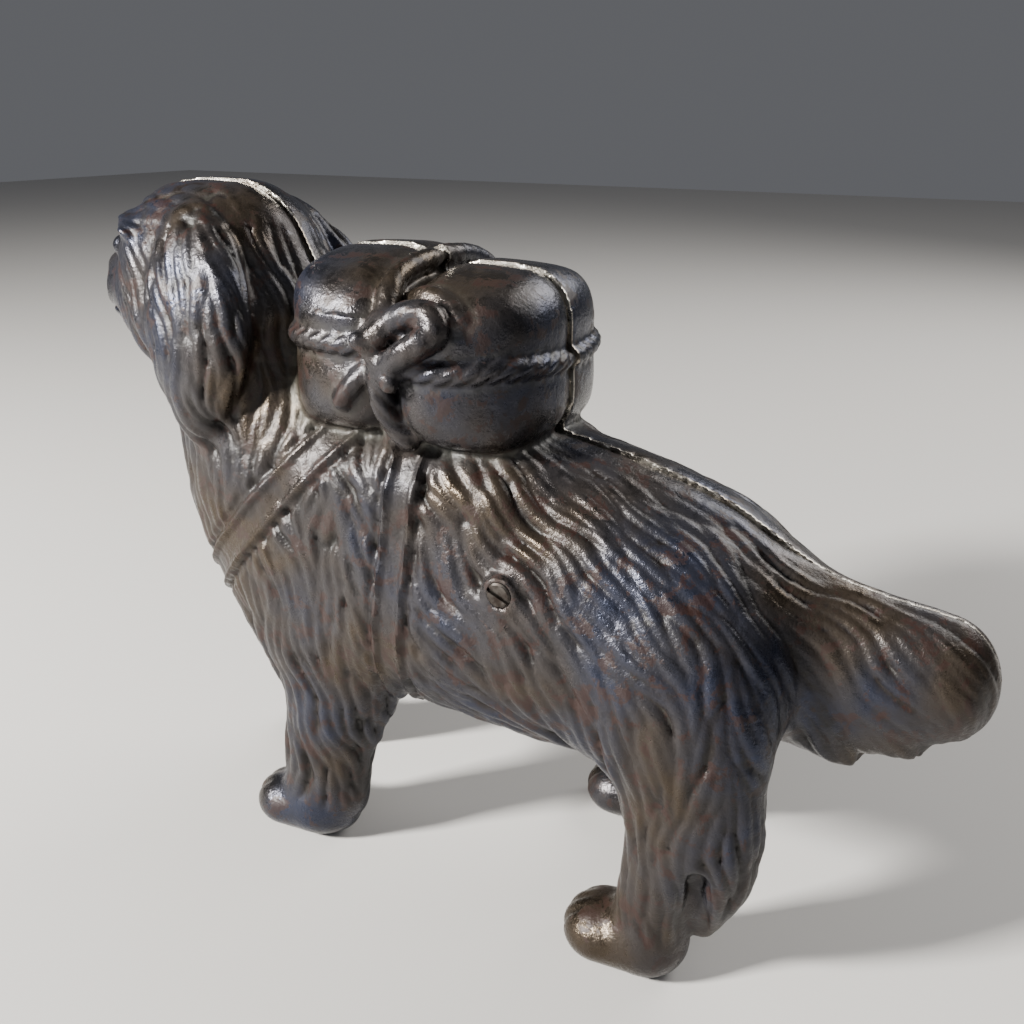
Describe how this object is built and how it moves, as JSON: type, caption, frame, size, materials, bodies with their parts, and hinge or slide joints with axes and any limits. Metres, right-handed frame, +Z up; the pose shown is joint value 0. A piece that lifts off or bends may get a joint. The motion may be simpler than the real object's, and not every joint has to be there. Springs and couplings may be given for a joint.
{
  "type": "cast iron still bank",
  "caption": "Hollow cast iron money box shaped as a standing long-haired dog with a roped pack, two halves held by one screw.",
  "frame": {"origin": "centre of the bounding box at the soles of the paws", "axes": "+X from nose to tail, +Y towards the dog's right side, +Z up; the halves meet on the plane Y = 0"},
  "size_m": [0.194, 0.061, 0.14],
  "materials": {
    "iron_left": "worn dark japanned cast iron",
    "iron_right": "worn dark japanned cast iron",
    "screw_steel": "darkened old steel"
  },
  "bodies": {
    "left": {"left_half": "iron_left"},
    "right": {"right_half": "iron_right"},
    "fastener": {"screw": "screw_steel"}
  },
  "joints": [
    {"name": "right_half_off", "type": "slide", "parent": "left", "child": "right", "axis": [0, 1, 0], "range_m": [0, 0.09]},
    {"name": "screw_out", "type": "slide", "parent": "right", "child": "fastener", "axis": [0, 1, 0], "range_m": [0, 0.06]}
  ]
}
